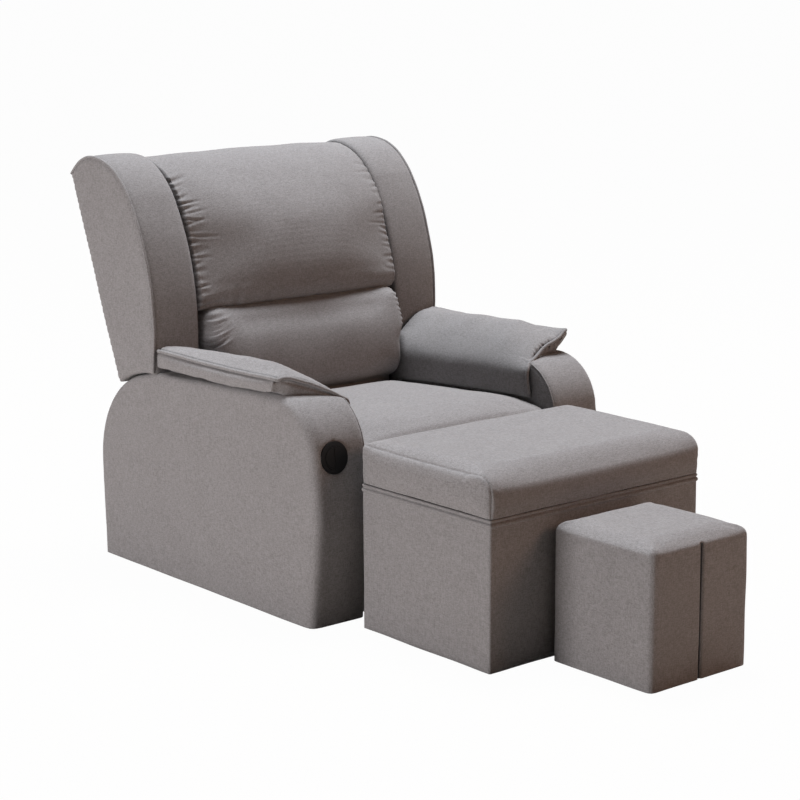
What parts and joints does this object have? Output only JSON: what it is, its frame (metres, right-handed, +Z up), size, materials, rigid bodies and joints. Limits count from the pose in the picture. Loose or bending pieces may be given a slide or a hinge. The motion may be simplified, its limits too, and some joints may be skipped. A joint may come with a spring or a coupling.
{
  "type": "electric pedicure sofa",
  "caption": "Upholstered winged recliner sofa with a motor driven back, saddle arm pads and a round arm control, with its storage footrest and low stool.",
  "frame": {"origin": "on the floor, under the middle of the whole set seen from above", "axes": "+X to the right of a person facing the sofa, +Y from the stool towards the sofa back, +Z up"},
  "size_m": [0.91, 1.7726, 1.0182],
  "materials": {
    "fabric": "woven linen look, warm grey, matt",
    "plywood": "raw plywood and softwood",
    "webbing": "woven elastic strap",
    "steel": "zinc plated",
    "chromed_rod": "polished",
    "motor_paint": "black paint, satin",
    "black_plastic": "black, fine satin",
    "nylon": "natural nylon",
    "circuit_board": "green lacquer",
    "cable_sheath": "black sheath"
  },
  "bodies": {
    "base": {"actuator_crossbar": "steel", "actuator_gearbox": "motor_paint", "actuator_motor": "motor_paint", "actuator_screw": "steel", "actuator_tube": "motor_paint", "control_board": "circuit_board", "control_cable": "cable_sheath", "control_housing": "black_plastic", "front_rail": "plywood", "front_valance": "fabric", "left_arm_battens": "plywood", "left_arm_cover": "fabric", "left_arm_inner_panel": "plywood", "left_arm_outer_panel": "plywood", "left_arm_pad": "fabric", "pivot_plates": "steel", "pivot_studs": "steel", "pivot_washers": "nylon", "power_inlet": "black_plastic", "power_unit": "black_plastic", "rear_rail": "plywood", "rear_valance": "fabric", "right_arm_battens": "plywood", "right_arm_cover": "fabric", "right_arm_inner_panel": "plywood", "right_arm_outer_panel": "plywood", "right_arm_pad": "fabric", "seat_cushion": "fabric", "seat_straps": "webbing", "sofa_glides": "black_plastic", "tube_hanger": "steel"},
    "back": {"back_uprights": "plywood", "back_rails": "plywood", "back_straps": "webbing", "back_rear_panel": "fabric", "right_wing_cover": "fabric", "left_wing_cover": "fabric", "right_wing_frame": "plywood", "left_wing_frame": "plywood", "head_cushion": "fabric", "lumbar_cushion": "fabric", "back_brackets": "steel", "lever_bracket": "steel", "lever_pin": "steel"},
    "rod": {"drive_nut": "nylon", "push_rod": "chromed_rod", "rod_yoke": "chromed_rod"},
    "recline_button": {"recline_button": "black_plastic"},
    "return_button": {"return_button": "black_plastic"},
    "ottoman": {"ottoman_boards": "plywood", "ottoman_cover": "fabric", "ottoman_glides": "black_plastic"},
    "ottoman_lid": {"lid_board": "plywood", "lid_cushion": "fabric", "lid_cleats": "plywood"},
    "stool": {"stool_boards": "plywood", "stool_cover": "fabric", "stool_pad": "fabric", "stool_glides": "black_plastic"}
  },
  "joints": [
    {"name": "back_recline", "type": "hinge", "parent": "base", "child": "back", "pos_m": [0, 0.55425, 0.258], "axis": [-1, 0, 0], "range_deg": [0, 50]},
    {"name": "rod_slide", "type": "slide", "parent": "base", "child": "rod", "axis": [0, -1, 0], "range_m": [0, 0.05937]},
    {"name": "recline_press", "type": "slide", "parent": "base", "child": "recline_button", "axis": [0, 0.9924, -0.1231], "range_m": [0, 0.0015], "stiffness_N_per_m": 900, "springref_m": -0.0006},
    {"name": "return_press", "type": "slide", "parent": "base", "child": "return_button", "axis": [0, 0.9924, -0.1231], "range_m": [0, 0.0015], "stiffness_N_per_m": 900, "springref_m": -0.0006},
    {"name": "ottoman_pull", "type": "slide", "parent": "base", "child": "ottoman", "axis": [0, -1, 0], "range_m": [0, 0.4]},
    {"name": "lid_lift", "type": "slide", "parent": "ottoman", "child": "ottoman_lid", "axis": [0, 0, 1], "range_m": [0, 0.2]},
    {"name": "stool_pull", "type": "slide", "parent": "ottoman", "child": "stool", "axis": [0, -1, 0], "range_m": [0, 0.4]}
  ],
  "couplings": [
    {"joint": "rod_slide", "follows": "back_recline", "m_per_rad": 0.0678}
  ]
}
